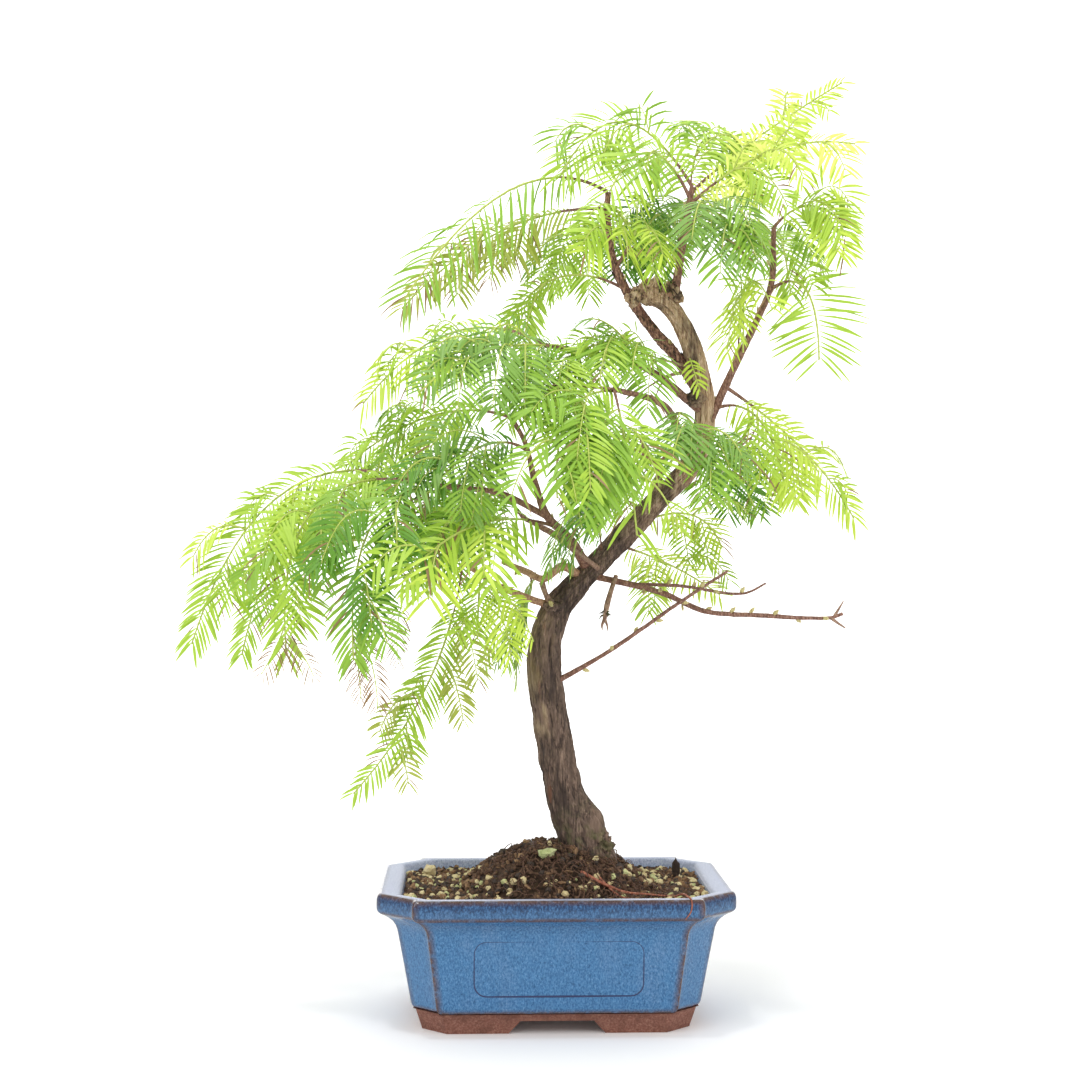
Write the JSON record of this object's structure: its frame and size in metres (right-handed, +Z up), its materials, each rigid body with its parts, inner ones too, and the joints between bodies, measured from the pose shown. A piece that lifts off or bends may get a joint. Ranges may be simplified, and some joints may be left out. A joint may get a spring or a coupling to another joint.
{
  "type": "potted bonsai tree",
  "caption": "Bonsai dawn redwood with arching sprays of flat needles, in a rectangular glazed pot with cut corners.",
  "frame": {"origin": "middle of the whole part's footprint, on the surface that the pot stands on", "axes": "+Z up, +X towards the right end of the pot as seen from its front, +Y towards the back of the pot"},
  "size_m": [0.3516, 0.2078, 0.4702],
  "materials": {
    "glaze": "glossy mottled blue glaze over brown stoneware",
    "soil": "dark crumb with pumice grains",
    "bark": "fibrous grey-brown bark",
    "needles": "fresh green needles"
  },
  "bodies": {
    "root": {"pot": "glaze", "soil": "soil", "trunk": "bark", "leader": "bark", "shoot_mid": "bark", "shoot_right": "bark", "bough_front_left": "bark", "bough_long_left": "bark", "bough_crooked": "bark", "bough_low_left": "bark", "bough_mid_left": "bark", "bough_front": "bark", "bough_back": "bark", "bough_back_left": "bark", "twig_bare": "bark", "twig_bare_upper": "bark", "twig_bare_low": "bark", "top_left_long": "needles", "top_left_second": "needles", "top_left_low": "needles", "top_arch": "needles", "top_arch_low": "needles", "plume_high": "needles", "plume_low": "needles", "right_upper": "needles", "right_fan": "needles", "inner_right": "needles", "inner_front": "needles", "inner_left": "needles", "inner_low": "needles", "inner_back": "needles", "leader_back": "needles", "right_back": "needles", "mid_far_left": "needles", "mid_left_near": "needles", "mid_left_low": "needles", "mid_left_under": "needles", "mid_upper": "needles", "mid_inner": "needles", "mid_front_droop": "needles", "mid_front_left": "needles", "mid_front_right": "needles", "mid_right": "needles", "mid_right_far": "needles", "mid_back": "needles", "mid_back_right": "needles", "under_right": "needles", "under_right_low": "needles", "low_far_left": "needles", "low_far_back": "needles", "low_left_mid": "needles", "low_left_near": "needles", "low_hanging": "needles", "low_front": "needles", "low_center": "needles", "low_under": "needles", "low_small": "needles", "low_back": "needles", "low_inner": "needles", "top_back": "needles"}
  },
  "joints": []
}
